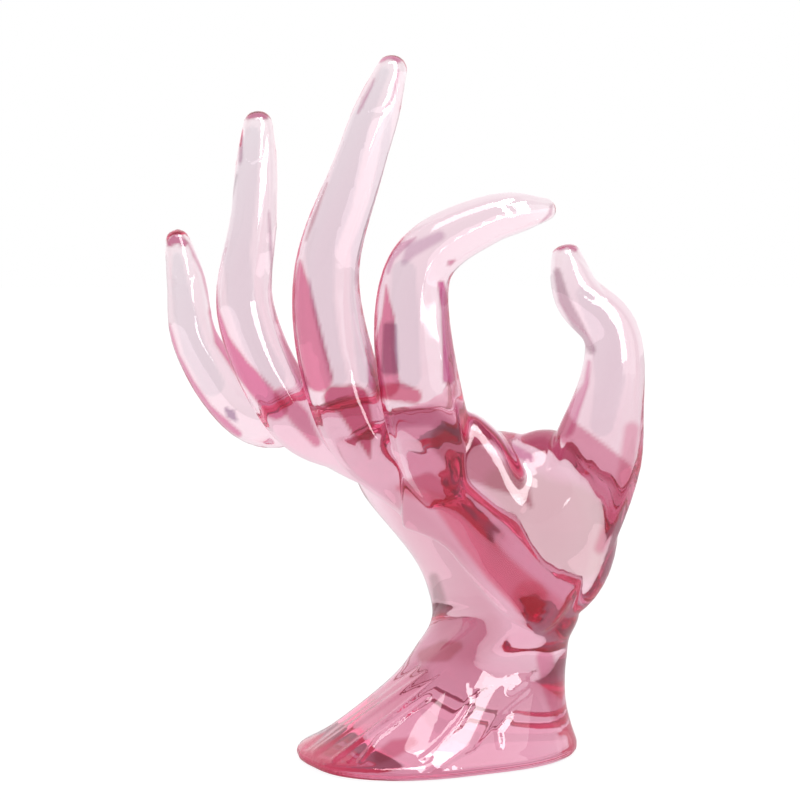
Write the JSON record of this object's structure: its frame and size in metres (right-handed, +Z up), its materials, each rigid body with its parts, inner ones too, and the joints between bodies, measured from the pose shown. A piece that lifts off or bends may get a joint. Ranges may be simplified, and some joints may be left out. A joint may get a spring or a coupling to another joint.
{
  "type": "hand ring display stand",
  "caption": "Ring stand in the shape of an open hand, its thumb and index finger making a loop, on a flared oval foot.",
  "frame": {"origin": "centre of the flat bottom of the foot", "axes": "+Z up, +X towards the thumb, +Y away from the viewer who looks through the loop of thumb and index finger"},
  "size_m": [0.1123, 0.0563, 0.1646],
  "materials": {
    "clear_pink_resin": "cast, clear, high gloss"
  },
  "bodies": {
    "root": {"foot": "clear_pink_resin", "wrist": "clear_pink_resin", "palm": "clear_pink_resin", "thumb": "clear_pink_resin", "index_finger": "clear_pink_resin", "middle_finger": "clear_pink_resin", "ring_finger": "clear_pink_resin", "little_finger": "clear_pink_resin"}
  },
  "joints": []
}
